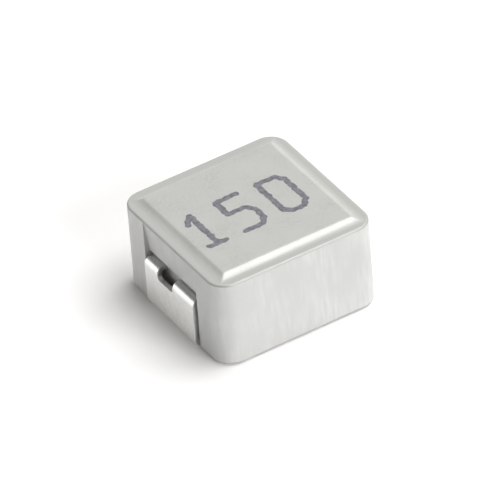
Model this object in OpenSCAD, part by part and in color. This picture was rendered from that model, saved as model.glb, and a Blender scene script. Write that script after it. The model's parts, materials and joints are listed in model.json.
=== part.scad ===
// Shielded surface-mount power inductor of the one-piece moulded kind.
// A copper winding is pressed into a block of soft magnetic powder, which is core
// and shield in one. Two slotted lead-frame terminals leave the block at half
// height, fold down its ends and turn under it as solder pads.
// Millimetres. The origin is the middle of the footprint on the board, +Z is up
// and the terminals lie on -X and +X.

/* [Body] */
// Length of the block from one terminal end to the other
body_l = 5.2; // [5:0.1:7]
// Width of the block
body_w = 5.2; // [5:0.1:7]
// Height of the top face over the board
body_h = 2.9; // [2.7:0.05:4]
// Radius of the upright corners
corner_r = 0.6; // [0.5:0.05:1]
// Rounding of the upper lip and of the bottom edge
edge_r = 0.06; // [0.04:0.01:0.15]
// Height of the underside over the board
standoff = 0.05; // [0.02:0.01:0.1]

/* [Raised top] */
// Distance from the side walls to the edge of the raised top
top_inset = 0.5; // [0.4:0.01:0.8]
// Height of the raised top over the ledge around it
top_rise = 0.1; // [0.05:0.01:0.2]
// Width of the hollow flank between the raised top and the ledge
flank_w = 0.28; // [0.1:0.01:0.3]

/* [End recesses] */
// Gap between a terminal's long edge and the side of its recess
recess_side_gap = 0.09; // [0.04:0.01:0.2]
// Set-back of the sloping panel over the terminal at its upper edge
panel_top_depth = 0.02; // [0.01:0.01:0.06]
// Set-back of the same panel at its lower edge
panel_foot_depth = 0.14; // [0.06:0.01:0.16]
// Gap between the terminal's upper side and the panel's lower edge
panel_gap = 0.1; // [0.05:0.01:0.2]
// Gap between a solder pad and the pocket over it
pad_gap = 0.03; // [0.01:0.01:0.08]

/* [Terminals] */
// Thickness of the lead-frame strip
strip_t = 0.15; // [0.1:0.01:0.18]
// Width of the terminal's face and of its solder pad
strip_w = 2.52; // [2:0.02:3]
// Height at which the strip's upper side leaves the block
exit_z = 1.65; // [1.4:0.05:1.9]
// How far the terminal's face stands proud of the block
face_proud = 0.1; // [0.06:0.01:0.12]
// Outer radius of the two bends
bend_r = 0.25; // [0.22:0.01:0.3]
// Straight run of the strip between the recess's back wall and the upper bend
exit_run = 0.1; // [0.02:0.01:0.12]
// Length of the solder pad from the terminal's face
pad_l = 1.25; // [0.9:0.05:1.6]
// Width taken off each side of the strip where it leaves the block
shoulder = 0.12; // [0.05:0.01:0.2]
// Width of the relief slot that makes two legs of the bend
slot_w = 0.8; // [0.5:0.05:1]
// Sideways place of the slot's middle
slot_y = 0.2; // [0:0.05:0.3]
// Distance from the slot's lower end to the strip's upper side
slot_h = 0.38; // [0.3:0.01:0.5]
// Corner radius at the slot's lower end
slot_r = 0.12; // [0.05:0.01:0.2]

/* [Weld tabs inside the block] */
// Width of the cross bar that joins the legs behind the slot
bar_w = 0.2; // [0.15:0.01:0.3]
// Distance of the weld tab's outer edge from the block's middle
tab_out = 1.45; // [1.4:0.01:1.6]
// Width of the weld tab
tab_w = 0.65; // [0.5:0.01:0.8]
// Reach of the anchor corner past the recess's back wall
anchor_reach = 0.5; // [0.4:0.01:0.6]
// Moulding left between the winding and the strip
tab_clear = 0.1; // [0.06:0.01:0.12]
// Gap between strip, wire and moulding
mould_gap = 0.02; // [0.01:0.01:0.03]

/* [Winding] */
// Diameter of the enamelled wire
wire_d = 0.21; // [0.15:0.01:0.21]
// Gap between neighbouring turns
turn_gap = 0.02; // [0.015:0.001:0.025]
// Radius of the space inside the winding
bore_r = 1.05; // [0.95:0.01:1.08]
// Turns side by side in each half of a layer
rows = 3; // [2:1:3]
// Layers of the winding
layers = 4; // [2:2:4]

/* [Hidden] */
$fn = 64;
cut = 0.5;                          // how far a cutting tool runs past the surface it opens

// block
end_x = body_l / 2;
side_y = body_w / 2;
ledge_z = body_h - top_rise;
flank_r = (flank_w * flank_w + top_rise * top_rise) / (2 * top_rise);

// terminal
face_x = end_x + face_proud;
exit_low = exit_z - strip_t;
strip_mid = exit_z - strip_t / 2;
neck_y = strip_w / 2 - shoulder;
slot_foot = exit_z - slot_h;
bend_x = face_x - bend_r;
wall_x = bend_x - exit_run;
neck_x = wall_x - strip_t / 2;
pad_top = strip_t + pad_gap;

// winding: layers count outwards, rows count from the middle plane up or down
pitch = wire_d + turn_gap;
ring_steps = 16;                    // straight stretches in a turn
jog_steps = 2;                      // of which a change of row or layer takes this many
wire_sides = 8;
turns = rows * layers;              // turns begun in each half
step_a = 360 / ring_steps;
first_turn_a = 90;                  // where the two halves join, on the +Y side
leave_a = 90;                       // angle through the last turn at which the lead leaves
half_steps = (turns - 1) * ring_steps + leave_a / step_a;
outer_r = layer_r(layers - 1);
lead_z = strip_t / 2 + mould_gap / 2 + wire_d / 2;
lead_end_y = tab_out - wire_d / 2;
well_out_r = outer_r + wire_d / 2 + mould_gap;
well_in_r = layer_r(0) * cos(step_a / 2) - wire_d / 2 - mould_gap;
well_h = (2 * rows - 1) * pitch + wire_d + 2 * mould_gap;
strip_clear_r = well_out_r + tab_clear;
slot_head_x = max(neck_x, strip_clear_r + bar_w);   // leaves the cross bar its width
weld_x = outer_r - wire_d / 2 - mould_gap;

// ---------------------------------------------------------------- shared shapes

// A rectangle of size [x, y] about the origin with round corners
module round_rect(size, r) {
    square([size[0] - 2 * r, size[1]], center = true);
    square([size[0], size[1] - 2 * r], center = true);
    for (x = [-1, 1], y = [-1, 1])
        translate([x * (size[0] / 2 - r), y * (size[1] / 2 - r)]) circle(r);
}

// Children drawn in the XZ plane, extruded along Y over a length about the middle
module along_y(length) {
    rotate([90, 0, 0]) linear_extrude(length, center = true) children();
}

// Children drawn in the YZ plane, extruded from x = 0 towards +X
module along_x(length) {
    rotate([90, 0, 90]) linear_extrude(length) children();
}

// The children once at each end of the block
module both_ends() {
    children();
    mirror([1, 0, 0]) children();
}

// ---------------------------------------------------------------- moulded block

// Side view of the block without its raised top, for one width
module slab_section(width) {
    translate([0, (standoff + ledge_z) / 2]) round_rect([width, ledge_z - standoff], edge_r);
}

// One upright corner, turned, so that lip and bottom edge run round it
module corner_post() {
    rotate_extrude() intersection() {
        slab_section(2 * corner_r);
        square([corner_r, body_h]);
    }
}

module pressed_block() {
    along_y(body_w - 2 * corner_r) slab_section(body_l);
    rotate([0, 0, 90]) along_y(body_l - 2 * corner_r) slab_section(body_w);
    for (x = [-1, 1], y = [-1, 1])
        translate([x * (end_x - corner_r), y * (side_y - corner_r), 0]) corner_post();
}

// Side view of the raised top: a hollow flank runs down each side to the ledge
module raised_section(half_top) {
    foot = half_top + flank_w;
    difference() {
        translate([-foot, ledge_z - top_rise]) square([2 * foot, 2 * top_rise]);
        for (side = [-1, 1]) translate([side * foot, ledge_z + flank_r]) circle(flank_r);
    }
}

// Two crossed extrusions give the flanks mitred corners
module raised_top() {
    intersection() {
        along_y(body_w) raised_section(end_x - top_inset);
        rotate([0, 0, 90]) along_y(body_l) raised_section(side_y - top_inset);
    }
}

// The recess in the -X end: a sloping panel over the exit, and a deeper pocket
// behind and under the terminal
module end_recess() {
    panel_foot = exit_z + panel_gap;
    along_y(strip_w + 2 * recess_side_gap) polygon([
        [-end_x - cut, ledge_z - edge_r],
        [-end_x + panel_top_depth, ledge_z - edge_r],
        [-end_x + panel_foot_depth, panel_foot],
        [-wall_x, panel_foot],
        [-wall_x, pad_top],
        [-face_x + pad_l + recess_side_gap, pad_top],
        [-face_x + pad_l + recess_side_gap, standoff - cut],
        [-end_x - cut, standoff - cut],
    ]);
}

// The annular space that the winding fills
module winding_well() {
    translate([0, 0, strip_mid]) rotate_extrude()
        translate([well_in_r, -well_h / 2]) square([well_out_r - well_in_r, well_h]);
}

// The channel round the lead over the -X weld tab
module lead_channel() {
    low = pitch / 2 - wire_d / 2 - mould_gap;
    width = wire_d + 2 * mould_gap;
    translate([-outer_r - width / 2, -lead_end_y - mould_gap, strip_mid + low])
        cube([width, lead_end_y + mould_gap, lead_z + wire_d / 2 + mould_gap - low]);
}

// The space round the strip inside the block at the -X end
module strip_pocket() {
    translate([0, 0, exit_low - mould_gap])
        linear_extrude(strip_t + 2 * mould_gap) buried_outline(mould_gap);
}

module moulded_core() {
    color([0.77, 0.77, 0.74]) difference() {
        union() {
            pressed_block();
            raised_top();
        }
        both_ends() end_recess();
        both_ends() strip_pocket();
        winding_well();
        lead_channel();
        translate([0, 0, 2 * strip_mid]) rotate([0, 180, 0]) lead_channel();
    }
}

// ---------------------------------------------------------------- terminals

// Plan of the strip inside the block at the -X end, larger all round by grow:
// cross bar, weld tab and anchor corner, hollowed to clear the winding
module buried_outline(grow = 0) {
    difference() {
        union() {
            grown_box([-wall_x, -neck_y], [-neck_x + bar_w, neck_y], grow);
            grown_box([-neck_x, -tab_out], [-weld_x, tab_w - tab_out], grow);
            grown_box([-neck_x, neck_y - tab_w], [-wall_x + anchor_reach, tab_out], grow);
        }
        circle(strip_clear_r - grow);
        grown_box([-wall_x - cut, slot_y - slot_w / 2], [-slot_head_x, slot_y + slot_w / 2], -grow);
    }
}

module grown_box(low, high, grow) {
    translate(low - [grow, grow]) square(high - low + 2 * [grow, grow]);
}

// A quarter of a ring about the origin, in the corner where x and y are negative
// or, with up = 1, where x is negative and y positive
module bend_section(up) {
    intersection() {
        difference() {
            circle(bend_r);
            circle(bend_r - strip_t);
        }
        translate([-bend_r, up > 0 ? 0 : -bend_r]) square(bend_r);
    }
}

// Side view of the folded strip outside the block at the -X end
module folded_section() {
    translate([-bend_x, exit_z - bend_r]) bend_section(1);
    translate([-bend_x, bend_r]) bend_section(-1);
    translate([-face_x, bend_r]) square([strip_t, exit_z - 2 * bend_r]);
    translate([-bend_x, 0]) square([pad_l - bend_r, strip_t]);
    translate([-bend_x, exit_low]) square([exit_run, strip_t]);
}

// End view of the relief slot, open at its upper end
module slot_section() {
    translate([slot_y, slot_foot]) {
        for (side = [-1, 1]) translate([side * (slot_w / 2 - slot_r), slot_r]) circle(slot_r);
        translate([slot_r - slot_w / 2, 0]) square([slot_w - 2 * slot_r, slot_h + cut]);
        translate([-slot_w / 2, slot_r]) square([slot_w, slot_h + cut]);
    }
}

// Plan of what the shoulders leave away on one side of the neck, on the upper bend
module shoulder_plan() {
    polygon([
        [-bend_x - shoulder, strip_w / 2],
        [-bend_x, neck_y],
        [-neck_x, neck_y],
        [-neck_x, strip_w / 2 + cut],
        [-bend_x - shoulder, strip_w / 2 + cut],
    ]);
}

module left_terminal() {
    color([0.86, 0.86, 0.84]) {
        difference() {
            along_y(strip_w) folded_section();
            translate([-face_x - cut, 0, 0]) along_x(face_x + cut - slot_head_x) slot_section();
            translate([0, 0, exit_z - bend_r]) linear_extrude(bend_r + cut) {
                shoulder_plan();
                mirror([0, 1, 0]) shoulder_plan();
            }
        }
        translate([0, 0, exit_low]) linear_extrude(strip_t) buried_outline();
    }
}

module right_terminal() {
    mirror([1, 0, 0]) left_terminal();
}

// ---------------------------------------------------------------- winding

function layer_r(layer) = bore_r + wire_d / 2 + layer * pitch;
function layer_of(turn) = floor(max(turn, 0) / rows);

// Row of a turn: each layer runs back over the rows of the one under it
function row_of(turn) =
    let (place = turn % rows)
    layer_of(turn) % 2 == 0 ? place : rows - 1 - place;
function row_z(turn) = (row_of(turn) + 0.5) * pitch;

function mix(a, b, t) = a + (b - a) * t;

// Centre of the wire in the upper half, a number of steps from where the halves
// join. A turn lies flat. In its last steps it jogs to the next row, and in the
// first steps of the next turn it climbs to the next layer.
function half_point(step) =
    let (
        along = step + jog_steps / 2,
        turn = floor(along / ring_steps),
        local = along - turn * ring_steps,
        climb = min(1, local / jog_steps),
        jog = max(0, (local - ring_steps + jog_steps) / jog_steps),
        r = mix(layer_r(layer_of(turn - 1)), layer_r(layer_of(turn)), climb),
        z = turn == 0 && local < jog_steps
            ? mix(-pitch / 2, pitch / 2, climb)
            : mix(row_z(turn), row_z(turn + 1), jog),
        a = first_turn_a + step * step_a
    )
    [r * cos(a), r * sin(a), z];

// The lead runs on straight from the last turn and rises onto the weld tab
lead_points = [
    for (t = [0.25, 0.5, 0.75, 1])
        [-outer_r, -lead_end_y * t, mix(pitch / 2, lead_z, min(1, 2 * t))]
];
upper_half = concat([for (step = [0:half_steps]) half_point(step)], lead_points);

// The lower half is the upper one turned over about the Y axis
lower_half = [for (i = [len(upper_half) - 1:-1:1])
    [-upper_half[i][0], upper_half[i][1], -upper_half[i][2]]];
wire_path = concat(lower_half, upper_half);

function unit(v) = v / norm(v);
function heading(path, i) = unit(path[min(i + 1, len(path) - 1)] - path[max(i - 1, 0)]);
function wire_ring(path, i) =
    let (
        along = heading(path, i),
        side = unit(cross(along, [0, 0, 1])),
        up = cross(side, along)
    )
    [for (k = [0:wire_sides - 1])
        path[i] + wire_d / 2 * (cos(360 * k / wire_sides) * side + sin(360 * k / wire_sides) * up)];

// A round wire along a path, as one closed skin
module wire(path) {
    last = len(path) - 1;
    n = wire_sides;
    polyhedron(
        points = [for (i = [0:last]) each wire_ring(path, i)],
        faces = concat(
            [[for (k = [0:n - 1]) k]],
            [for (i = [0:last - 1], k = [0:n - 1])
                [i * n + k, (i + 1) * n + k, (i + 1) * n + (k + 1) % n, i * n + (k + 1) % n]],
            [[for (k = [n - 1:-1:0]) last * n + k]]
        )
    );
}

module winding() {
    color([0.72, 0.42, 0.2]) translate([0, 0, strip_mid]) wire(wire_path);
}

moulded_core();
winding();
left_terminal();
right_terminal();
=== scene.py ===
"""The looks of a shielded surface-mount inductor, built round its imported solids.

Sizes are in millimetres and become metres where a mesh, lamp or camera is made.
"""

import json
import logging
import math
from dataclasses import dataclass
from enum import Enum
from typing import Any

import bmesh
import bpy
from mathutils import Matrix, Vector, noise


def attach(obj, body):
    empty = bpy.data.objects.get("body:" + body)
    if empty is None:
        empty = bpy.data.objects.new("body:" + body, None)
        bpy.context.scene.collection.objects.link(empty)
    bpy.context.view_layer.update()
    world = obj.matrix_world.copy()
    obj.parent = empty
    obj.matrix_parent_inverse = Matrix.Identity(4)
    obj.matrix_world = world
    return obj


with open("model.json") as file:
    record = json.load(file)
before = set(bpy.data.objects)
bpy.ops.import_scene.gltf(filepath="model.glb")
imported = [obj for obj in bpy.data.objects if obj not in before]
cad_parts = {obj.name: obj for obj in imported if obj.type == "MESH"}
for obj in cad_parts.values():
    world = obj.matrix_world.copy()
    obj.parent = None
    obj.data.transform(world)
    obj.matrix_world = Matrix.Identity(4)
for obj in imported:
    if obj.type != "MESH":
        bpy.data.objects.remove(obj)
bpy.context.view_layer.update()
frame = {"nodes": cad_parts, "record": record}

LOG = logging.getLogger("inductor")
MM = 0.001
BODY = "root"
CLOUDS = (0.35, 0.65)  # noise values that a pattern stretches to 0 and 1


class Slot(Enum):
    """The record's material slots."""

    POWDER = "pressed_powder"
    TIN = "tinned_copper"
    WIRE = "enamelled_wire"


def linear(colour: str) -> tuple[float, float, float, float]:
    """Turns an sRGB colour into the linear values that shaders use.

    Args:
        colour: The colour as "#RRGGBB".

    Returns:
        Linear red, green, blue and an alpha of 1.
    """
    parts = [int(colour[i : i + 2], 16) / 255 for i in (1, 3, 5)]
    red, green, blue = (
        p / 12.92 if p <= 0.04045 else ((p + 0.055) / 1.055) ** 2.4 for p in parts
    )
    return red, green, blue, 1.0


def direction(azimuth: float, elevation: float) -> Vector:
    """Turns a viewing direction into a vector that points back to the viewer.

    Args:
        azimuth: Degrees round the part; 0 looks along +Y and 90 along -X.
        elevation: Degrees over the horizon.

    Returns:
        A vector of length one.
    """
    a, e = math.radians(azimuth), math.radians(elevation)
    return Vector(
        (math.sin(a) * math.cos(e), -math.cos(a) * math.cos(e), math.sin(e))
    )


def add_node(
    tree: bpy.types.NodeTree,
    kind: str,
    inputs: dict[str | int, Any] | None = None,
    **settings: Any,
) -> bpy.types.Node:
    """Adds a shader node, sets its properties and fills or links its inputs.

    Args:
        tree: The node tree.
        kind: The node's type, such as "ShaderNodeBump".
        inputs: Input name or number to a value, or to the output that feeds it.
        **settings: Properties of the node.

    Returns:
        The new node.
    """
    node = tree.nodes.new(kind)
    for name, value in settings.items():
        setattr(node, name, value)
    for name, value in (inputs or {}).items():
        if isinstance(value, bpy.types.NodeSocket):
            tree.links.new(value, node.inputs[name])
        else:
            node.inputs[name].default_value = value
    return node


def pattern(
    tree: bpy.types.NodeTree,
    grain: float,
    drawn_out: float = 1.0,
    detail: float = 3.0,
) -> bpy.types.NodeSocket:
    """Makes an uneven pattern, from 0 to 1, sized in millimetres on the piece.

    Args:
        tree: The node tree.
        grain: Width of one patch.
        drawn_out: How many times longer than wide a patch is, along Z.
        detail: Octaves of finer noise.

    Returns:
        The pattern's output.
    """
    across = 1 / (grain * MM)
    place = add_node(tree, "ShaderNodeTexCoord").outputs["Object"]
    scaled = add_node(
        tree,
        "ShaderNodeMapping",
        {"Vector": place, "Scale": (across, across, across / drawn_out)},
    )
    clouds = add_node(
        tree,
        "ShaderNodeTexNoise",
        {"Vector": scaled.outputs[0], "Scale": 1.0, "Detail": detail},
    )
    low, high = CLOUDS
    ramp = add_node(
        tree,
        "ShaderNodeMapRange",
        {"Value": clouds.outputs[0], "From Min": low, "From Max": high},
    )
    return ramp.outputs[0]


def start_material(name: str) -> tuple[bpy.types.Material, bpy.types.NodeTree]:
    """Makes an empty node material.

    Args:
        name: The material's name.

    Returns:
        The material and its node tree.
    """
    material = bpy.data.materials.new(name)
    material.use_nodes = True
    material.node_tree.nodes.clear()
    return material, material.node_tree


def finish_surface(
    tree: bpy.types.NodeTree,
    colour: str,
    layers: list[tuple[bpy.types.NodeSocket, str]],
    settings: dict[str, Any],
) -> None:
    """Lays tones over a base colour and sends the whole to the surface.

    Args:
        tree: The material's node tree.
        colour: The base colour as "#RRGGBB".
        layers: From the lowest up, the output that says how much of a tone shows,
            and the tone as "#RRGGBB".
        settings: The shader's other inputs.
    """
    tone: Any = linear(colour)
    for mask, over in layers:
        # A Mix node takes its colours at inputs 6 and 7 and gives one at output 2.
        mixed = add_node(
            tree,
            "ShaderNodeMix",
            {0: mask, 6: tone, 7: linear(over)},
            data_type="RGBA",
        )
        tone = mixed.outputs[2]
    shader = add_node(
        tree, "ShaderNodeBsdfPrincipled", {"Base Color": tone, **settings}
    )
    add_node(tree, "ShaderNodeOutputMaterial", {"Surface": shader.outputs[0]})


# ------------------------------------------------------------------ finishes


@dataclass(frozen=True)
class PressedPowder:
    """Iron powder and resin pressed in a polished steel die.

    The die burnishes the grains it touches into a pale satin skin with a faint
    sparkle. The ledge round the raised top is coloured a little darker, and the lip,
    where the punch met the die, carries painted shade that darkens its edge.
    Ejection drags upright streaks down the walls.
    """

    colour: str = "#C6C7C2"
    dull_colour: str = "#BCBDB8"
    # the ledge round the raised top is coloured a little darker than the top
    ledge_colour: str = "#BFC0BB"
    wall_colour: str = "#C1C1BF"
    streak_colour: str = "#CCCCCA"
    # painted shade: the lip is coloured darker where shade falls along its edge
    lip_shade_colour: str = "#A9AAA7"
    metallic: float = 0.2
    roughness: float = 0.41
    rim: float = 0.12
    rim_samples: int = 8
    grain: float = 0.07  # the real grains of about 0.02 mm are too fine to show
    blotch: float = 0.98  # the burnish changes from about one millimetre to the next
    streak: float = 0.13  # real drag marks are finer and too faint to show
    streak_length: float = 8.0
    relief: float = 0.0025
    relief_strength: float = 0.5
    # Where a mask is 0 and where it is 1: by how far the surface faces up, from 0 on
    # a wall to 1 on a level face, or by its height.
    wall_tilt: tuple[float, float] = (0.25, 0.0)
    slope_tilt: tuple[float, float] = (0.95, 0.8)
    raised_z: tuple[float, float] = (2.802, 2.815)

    def material(self) -> bpy.types.Material:
        """Builds the finish as a material.

        Returns:
            The material.
        """
        material, tree = start_material("pressed_iron_powder")
        grains = pattern(tree, self.grain, detail=4.0)
        blotches = pattern(tree, self.blotch, detail=2.0)
        streaks = pattern(tree, self.streak, drawn_out=self.streak_length)
        wall, lip, raised = self.regions(tree)
        ledge = add_node(
            tree, "ShaderNodeMath", {0: 1.0, 1: raised}, operation="SUBTRACT"
        )
        dulled = add_node(
            tree, "ShaderNodeMath", {0: grains, 1: blotches}, operation="MULTIPLY"
        )
        patches = add_node(
            tree, "ShaderNodeMath", {0: streaks, 1: blotches}, operation="MULTIPLY"
        )
        upright = add_node(
            tree,
            "ShaderNodeMath",
            {0: wall, 1: patches.outputs[0]},
            operation="MULTIPLY",
        )
        finish_surface(
            tree,
            self.colour,
            [
                (dulled.outputs[0], self.dull_colour),
                (ledge.outputs[0], self.ledge_colour),
                (wall, self.wall_colour),
                (upright.outputs[0], self.streak_colour),
                # painted shade along the lip
                (lip, self.lip_shade_colour),
            ],
            {
                "Metallic": self.metallic,
                "Roughness": self.roughness,
                "Normal": self.relieved(tree, raised, [grains, upright.outputs[0]]),
            },
        )
        return material

    def regions(self, tree: bpy.types.NodeTree) -> list[bpy.types.NodeSocket]:
        """Tells the block's regions apart by the tilt and height of its surface.

        Args:
            tree: The material's node tree.

        Returns:
            Outputs that are 1 on the walls, on the lip over them, and on the raised
            top.
        """
        normal = add_node(tree, "ShaderNodeNewGeometry").outputs["Normal"]
        place = add_node(tree, "ShaderNodeTexCoord").outputs["Object"]
        tilt = add_node(tree, "ShaderNodeSeparateXYZ", {"Vector": normal})
        height = add_node(tree, "ShaderNodeSeparateXYZ", {"Vector": place})
        bottom, top = self.raised_z
        wall, slope, raised = (
            add_node(
                tree,
                "ShaderNodeMapRange",
                {"Value": axes.outputs["Z"], "From Min": zero, "From Max": one},
            ).outputs[0]
            for axes, (zero, one) in (
                (tilt, self.wall_tilt),
                (tilt, self.slope_tilt),
                (height, (bottom * MM, top * MM)),
            )
        )
        lip = slope
        for region in (wall, raised):
            lip = add_node(
                tree,
                "ShaderNodeMath",
                {0: lip, 1: region},
                operation="SUBTRACT",
                use_clamp=True,
            ).outputs[0]
        return [wall, lip, raised]

    def relieved(
        self,
        tree: bpy.types.NodeTree,
        raised: bpy.types.NodeSocket,
        heights: list[bpy.types.NodeSocket],
    ) -> bpy.types.NodeSocket:
        """Rounds the raised top's worn rim and lays the grain's relief over all.

        Args:
            tree: The material's node tree.
            raised: Output that is 1 on the raised top.
            heights: Patterns that stand out from the surface.

        Returns:
            The output that says which way the surface faces.
        """
        geometry = add_node(tree, "ShaderNodeNewGeometry")
        worn = add_node(
            tree,
            "ShaderNodeBevel",
            {"Radius": self.rim * MM},
            samples=self.rim_samples,
        )
        # A Mix node takes its vectors at inputs 4 and 5 and gives one at output 1.
        facing = add_node(
            tree,
            "ShaderNodeMix",
            {0: raised, 4: geometry.outputs["Normal"], 5: worn.outputs[0]},
            data_type="VECTOR",
        ).outputs[1]
        for height in heights:
            facing = add_node(
                tree,
                "ShaderNodeBump",
                {
                    "Height": height,
                    "Distance": self.relief * MM,
                    "Strength": self.relief_strength,
                    "Normal": facing,
                },
            ).outputs[0]
        return facing


@dataclass(frozen=True)
class TinPlate:
    """Matte tin plated on copper sheet, a bright metal with soft reflections."""

    colour: str = "#EDEDEB"
    dull_colour: str = "#E6E6E4"
    roughness: float = 0.38
    edge: float = 0.02
    edge_samples: int = 6
    grain: float = 0.12  # the real tin grains of about 0.01 mm are too fine to show
    relief: float = 0.0015
    relief_strength: float = 0.4

    def material(self) -> bpy.types.Material:
        """Builds the finish as a material.

        Returns:
            The material.
        """
        material, tree = start_material("matte_tin_plate")
        grains = pattern(tree, self.grain)
        rounded = add_node(
            tree,
            "ShaderNodeBevel",
            {"Radius": self.edge * MM},
            samples=self.edge_samples,
        )
        skin = add_node(
            tree,
            "ShaderNodeBump",
            {
                "Height": grains,
                "Distance": self.relief * MM,
                "Strength": self.relief_strength,
                "Normal": rounded.outputs[0],
            },
        )
        finish_surface(
            tree,
            self.colour,
            [(grains, self.dull_colour)],
            {
                "Metallic": 1.0,
                "Roughness": self.roughness,
                "Normal": skin.outputs[0],
            },
        )
        return material


@dataclass(frozen=True)
class EnamelledCopper:
    """Copper wire under clear amber enamel, warm and glossy."""

    colour: str = "#B4602E"
    deep_colour: str = "#9A4A20"
    roughness: float = 0.25
    coat: float = 0.6
    coat_roughness: float = 0.1
    patch: float = 0.6  # the enamel's thickness changes along a few wire widths

    def material(self) -> bpy.types.Material:
        """Builds the finish as a material.

        Returns:
            The material.
        """
        material, tree = start_material("enamelled_copper")
        finish_surface(
            tree,
            self.colour,
            [(pattern(tree, self.patch), self.deep_colour)],
            {
                "Metallic": 1.0,
                "Roughness": self.roughness,
                "Coat Weight": self.coat,
                "Coat Roughness": self.coat_roughness,
            },
        )
        return material


@dataclass(frozen=True)
class MarkingInk:
    """Grey-violet marking ink, flat and a little thin where it ran out."""

    colour: str = "#65656D"
    thin_colour: str = "#808087"
    roughness: float = 0.6
    patch: float = 0.12  # thin spots a little narrower than a stroke

    def material(self) -> bpy.types.Material:
        """Builds the finish as a material.

        Returns:
            The material.
        """
        material, tree = start_material("marking_ink")
        finish_surface(
            tree,
            self.colour,
            [(pattern(tree, self.patch), self.thin_colour)],
            {"Roughness": self.roughness},
        )
        return material


# ------------------------------------------------------------------ pieces


@dataclass
class MouldedInductor:
    """The block, terminals and winding, whose solids have their final shape."""

    powder: PressedPowder
    tin: TinPlate
    wire: EnamelledCopper

    def dress(self) -> None:
        """Gives each solid its finish, in the slots it already has."""
        finishes = {
            Slot.POWDER.value: self.powder.material(),
            Slot.TIN.value: self.tin.material(),
            Slot.WIRE.value: self.wire.material(),
        }
        for row in frame["record"]["subparts"]:
            solid = frame["nodes"][row["node"]]
            for place in solid.material_slots:
                place.material = finishes[row["material_slot"]]
            LOG.info("dressed %s as %s", row["node"], row["material_slot"])


class Digit(Enum):
    """Strokes of the marking's digits, in a cell one unit wide and one high."""

    ONE = (
        ((0.34, 0.74), (0.68, 0.96), (0.68, 0.03)),
        ((0.32, 0.0), (1.0, 0.0)),
    )
    FIVE = (
        ((0.92, 1.0), (0.04, 1.0), (0.04, 0.58), (0.74, 0.58), (1.0, 0.44)),
        ((1.0, 0.44), (1.0, 0.14), (0.78, 0.0), (0.06, 0.0)),
    )
    ZERO = (
        ((0.0, 1.0), (0.76, 1.0), (1.0, 0.84), (1.0, 0.16), (0.76, 0.0)),
        ((0.76, 0.0), (0.24, 0.0), (0.0, 0.12), (0.0, 1.0)),
    )


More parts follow.
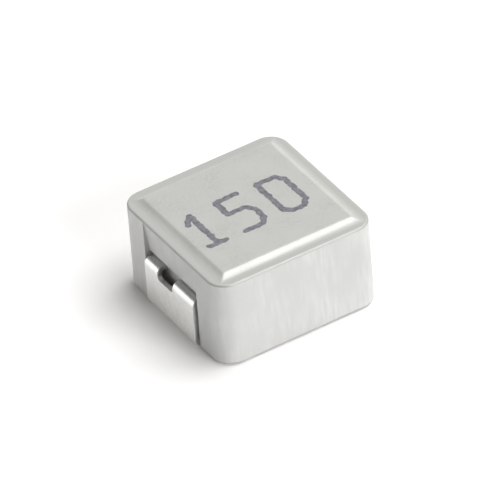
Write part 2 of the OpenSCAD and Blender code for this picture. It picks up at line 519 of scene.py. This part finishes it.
@dataclass
class ValueMarking:
    """A plain number printed on the raised top as a thin film of ink."""

    ink: MarkingInk
    digits: tuple[Digit, ...] = (Digit.ONE, Digit.FIVE, Digit.ZERO)
    top_z: float = 2.9
    thickness: float = 0.006
    left: float = -2.02
    foot: float = -0.87
    digit_w: float = 0.78
    digit_h: float = 1.58
    spacing: float = 1.385
    stroke: float = 0.175
    ragged: float = 0.04
    ragged_grain: float = 0.14
    cell: float = 0.025

    def build(self) -> bpy.types.Object:
        """Draws the ink's shape and gives it its thickness.

        Returns:
            The ink as one object.
        """
        mesh = bmesh.new()
        self.draw(mesh)
        raised = bmesh.ops.extrude_face_region(mesh, geom=mesh.faces[:])
        lifted = [v for v in raised["geom"] if isinstance(v, bmesh.types.BMVert)]
        bmesh.ops.translate(mesh, verts=lifted, vec=(0, 0, self.thickness))
        bmesh.ops.recalc_face_normals(mesh, faces=mesh.faces)
        bmesh.ops.scale(mesh, vec=(MM, MM, MM), verts=mesh.verts)
        data = bpy.data.meshes.new("value_marking")
        mesh.to_mesh(data)
        mesh.free()
        data.materials.append(self.ink.material())
        marking = bpy.data.objects.new("value_marking", data)
        bpy.context.scene.collection.objects.link(marking)
        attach(marking, BODY)
        LOG.info("value_marking: %d faces", len(data.polygons))
        return marking

    def draw(self, mesh: bmesh.types.BMesh) -> None:
        """Fills the ink's outline with flat faces, cell by cell.

        Args:
            mesh: The empty mesh.
        """
        origin, inked = self.measure()
        corners: dict[Any, bmesh.types.BMVert] = {}

        def corner(key: Any, at: Vector) -> bmesh.types.BMVert:
            """Finds or makes the vertex of a grid point or a cell's edge.

            Args:
                key: The grid point, or the edge's two.
                at: Its place on the grid, in cells.

            Returns:
                The vertex.
            """
            if key not in corners:
                corners[key] = mesh.verts.new((*(origin + self.cell * at), self.top_z))
            return corners[key]

        for i, j in inked:
            if (i + 1, j + 1) not in inked:
                continue
            ring = [(i, j), (i + 1, j), (i + 1, j + 1), (i, j + 1)]
            face = []
            for a, b in zip(ring, ring[1:] + ring[:1]):
                if inked[a] > 0:
                    face.append(corner(a, Vector(a)))
                if (inked[a] > 0) != (inked[b] > 0):
                    share = inked[a] / (inked[a] - inked[b])
                    at = Vector(a).lerp(Vector(b), share)
                    face.append(corner(frozenset((a, b)), at))
            if len(face) > 2:
                mesh.faces.new(face)

    def measure(self) -> tuple[Vector, dict[tuple[int, int], float]]:
        """Measures the ink on a grid that reaches a stroke's width past the digits.

        Returns:
            The grid's corner, and how far inside the ink each grid point lies.
        """
        segments = self.segments()
        width = (len(self.digits) - 1) * self.spacing + self.digit_w + 2 * self.stroke
        height = self.digit_h + 2 * self.stroke
        origin = Vector((self.left - self.stroke, self.foot - self.stroke))
        inked = {
            (i, j): self.cover(origin + self.cell * Vector((i, j)), segments)
            for i in range(math.ceil(width / self.cell) + 1)
            for j in range(math.ceil(height / self.cell) + 1)
        }
        return origin, inked

    def segments(self) -> list[tuple[Vector, Vector]]:
        """Lays the strokes of all digits on the top.

        Returns:
            The strokes' straight stretches, each from one end to the other.
        """
        stretches = []
        for number, digit in enumerate(self.digits):
            corner = Vector((self.left + number * self.spacing, self.foot))
            for stroke in digit.value:
                points = [
                    corner + Vector((x * self.digit_w, y * self.digit_h))
                    for x, y in stroke
                ]
                stretches += list(zip(points, points[1:]))
        return stretches

    def cover(self, place: Vector, segments: list[tuple[Vector, Vector]]) -> float:
        """Says how far inside the ink a place lies.

        Args:
            place: The place on the top.
            segments: The strokes' straight stretches.

        Returns:
            Distance to the ink's edge, above 0 inside it.
        """
        nearest = min(self.distance(place, a, b) for a, b in segments)
        wave = noise.noise(Vector((*place, 0)) / self.ragged_grain)
        return self.stroke / 2 - nearest + self.ragged * wave

    @staticmethod
    def distance(place: Vector, a: Vector, b: Vector) -> float:
        """Measures how far a place is from a straight stretch.

        Args:
            place: The place.
            a: One end of the stretch.
            b: Its other end.

        Returns:
            The distance.
        """
        along = b - a
        share = max(0.0, min(1.0, (place - a).dot(along) / along.length_squared))
        return (place - a - share * along).length


# ------------------------------------------------------------------ studio


@dataclass(frozen=True)
class SoftBox:
    """A soft oblong lamp that stands off in one direction and faces the part."""

    name: str
    azimuth: float
    elevation: float
    distance: float
    width: float
    height: float
    radiance: float

    def build(self, aim: Vector) -> None:
        """Makes the lamp and points it.

        Args:
            aim: The place that the lamp faces, in metres.
        """
        back = direction(self.azimuth, self.elevation)
        lamp = bpy.data.lights.new(self.name, "AREA")
        lamp.shape = "RECTANGLE"
        lamp.size, lamp.size_y = self.width * MM, self.height * MM
        lamp.energy = self.radiance * math.pi * lamp.size * lamp.size_y
        holder = bpy.data.objects.new(self.name, lamp)
        holder.location = aim + back * self.distance * MM
        holder.rotation_mode = "QUATERNION"
        holder.rotation_quaternion = (-back).to_track_quat("-Z", "Y")
        bpy.context.scene.collection.objects.link(holder)


@dataclass
class Studio:
    """Pale floor, even light and soft lamps round the part."""

    floor_colour: str = "#FBFBFB"
    floor_half: float = 900.0
    floor_drop: float = 0.01
    floor_lift: float = 0.05
    lift_colour: str = "#FFF4DF"
    world_colour: str = "#FFFFFF"
    world_strength: float = 0.17
    aim_z: float = 1.0
    # Each lamp's name, azimuth, elevation, distance, width, height and radiance.
    lamps: tuple[SoftBox, ...] = (
        SoftBox("front_lamp", 14.0, 22.0, 500.0, 300.0, 300.0, 6.0),
        SoftBox("top_lamp", 82.0, 63.0, 450.0, 380.0, 380.0, 4.4),
        SoftBox("left_card", -134.0, 10.0, 500.0, 330.0, 160.0, 2.4),
        SoftBox("back_card", 150.0, 12.0, 500.0, 420.0, 190.0, 1.3),
    )

    def build(self) -> None:
        """Makes the floor, the world and the lamps."""
        self.build_floor()
        self.build_world()
        for lamp in self.lamps:
            lamp.build(Vector((0, 0, self.aim_z * MM)))
        LOG.info("studio: floor, world and %d lamps", len(self.lamps))

    def build_floor(self) -> None:
        """Makes the floor, whose paper looks a little lighter than it is lit."""
        half, low = self.floor_half * MM, -self.floor_drop * MM
        sides = ((-1, -1), (1, -1), (1, 1), (-1, 1))
        data = bpy.data.meshes.new("floor")
        corners = [(x * half, y * half, low) for x, y in sides]
        data.from_pydata(corners, [], [(0, 1, 2, 3)])
        # Uncoated white paper is matte: it shows soft shadows and no reflections.
        material, tree = start_material("white_paper")
        path = add_node(tree, "ShaderNodeLightPath")
        seen = add_node(
            tree,
            "ShaderNodeMath",
            {0: path.outputs["Is Camera Ray"], 1: path.outputs["Is Glossy Ray"]},
            operation="MAXIMUM",
        )
        lift = add_node(
            tree,
            "ShaderNodeMath",
            {0: seen.outputs[0], 1: self.floor_lift},
            operation="MULTIPLY",
        )
        paper = add_node(
            tree, "ShaderNodeBsdfDiffuse", {"Color": linear(self.floor_colour)}
        )
        glow = add_node(
            tree,
            "ShaderNodeEmission",
            {"Color": linear(self.lift_colour), "Strength": lift.outputs[0]},
        )
        both = add_node(
            tree, "ShaderNodeAddShader", {0: paper.outputs[0], 1: glow.outputs[0]}
        )
        add_node(tree, "ShaderNodeOutputMaterial", {"Surface": both.outputs[0]})
        data.materials.append(material)
        floor = bpy.data.objects.new("floor", data)
        bpy.context.scene.collection.objects.link(floor)

    def build_world(self) -> None:
        """Makes the even light from all round."""
        world = bpy.data.worlds.new("studio")
        world.use_nodes = True
        tree = world.node_tree
        tree.nodes.clear()
        sky = add_node(
            tree,
            "ShaderNodeBackground",
            {"Color": linear(self.world_colour), "Strength": self.world_strength},
        )
        add_node(tree, "ShaderNodeOutputWorld", {"Surface": sky.outputs[0]})
        bpy.context.scene.world = world


@dataclass(frozen=True)
class Viewpoint:
    """The camera's place: a long lens, a little rolled, looking down on a corner."""

    azimuth: float = -29.37
    elevation: float = 37.84
    roll: float = -4.79
    distance: float = 278.85
    aim: tuple[float, float, float] = (0.305, 0.580, 0.893)
    lens: float = 720.0
    sensor: float = 36.0
    near: float = 5.0
    far: float = 5000.0

    def build(self) -> None:
        """Makes the camera and sets it as the scene's."""
        back = direction(self.azimuth, self.elevation)
        right = Vector((0, 0, 1)).cross(back).normalized()
        up = back.cross(right)
        turn = math.radians(self.roll)
        across = right * math.cos(turn) + up * math.sin(turn)
        upwards = up * math.cos(turn) - right * math.sin(turn)
        data = bpy.data.cameras.new("camera")
        data.lens, data.sensor_width = self.lens, self.sensor
        data.clip_start, data.clip_end = self.near * MM, self.far * MM
        camera = bpy.data.objects.new("camera", data)
        place = (Vector(self.aim) + back * self.distance) * MM
        axes = Matrix((across, upwards, back)).transposed().to_4x4()
        camera.matrix_world = Matrix.Translation(place) @ axes
        bpy.context.scene.collection.objects.link(camera)
        bpy.context.scene.camera = camera
        LOG.info("camera %.1f mm from the part", self.distance)


def main() -> None:
    """Builds the dressed part and the studio."""
    logging.basicConfig(level=logging.INFO, format="%(message)s")
    MouldedInductor(PressedPowder(), TinPlate(), EnamelledCopper()).dress()
    ValueMarking(MarkingInk()).build()
    Studio().build()
    Viewpoint().build()
    bpy.context.scene.view_settings.view_transform = "Standard"


if __name__ == "__main__":
    main()
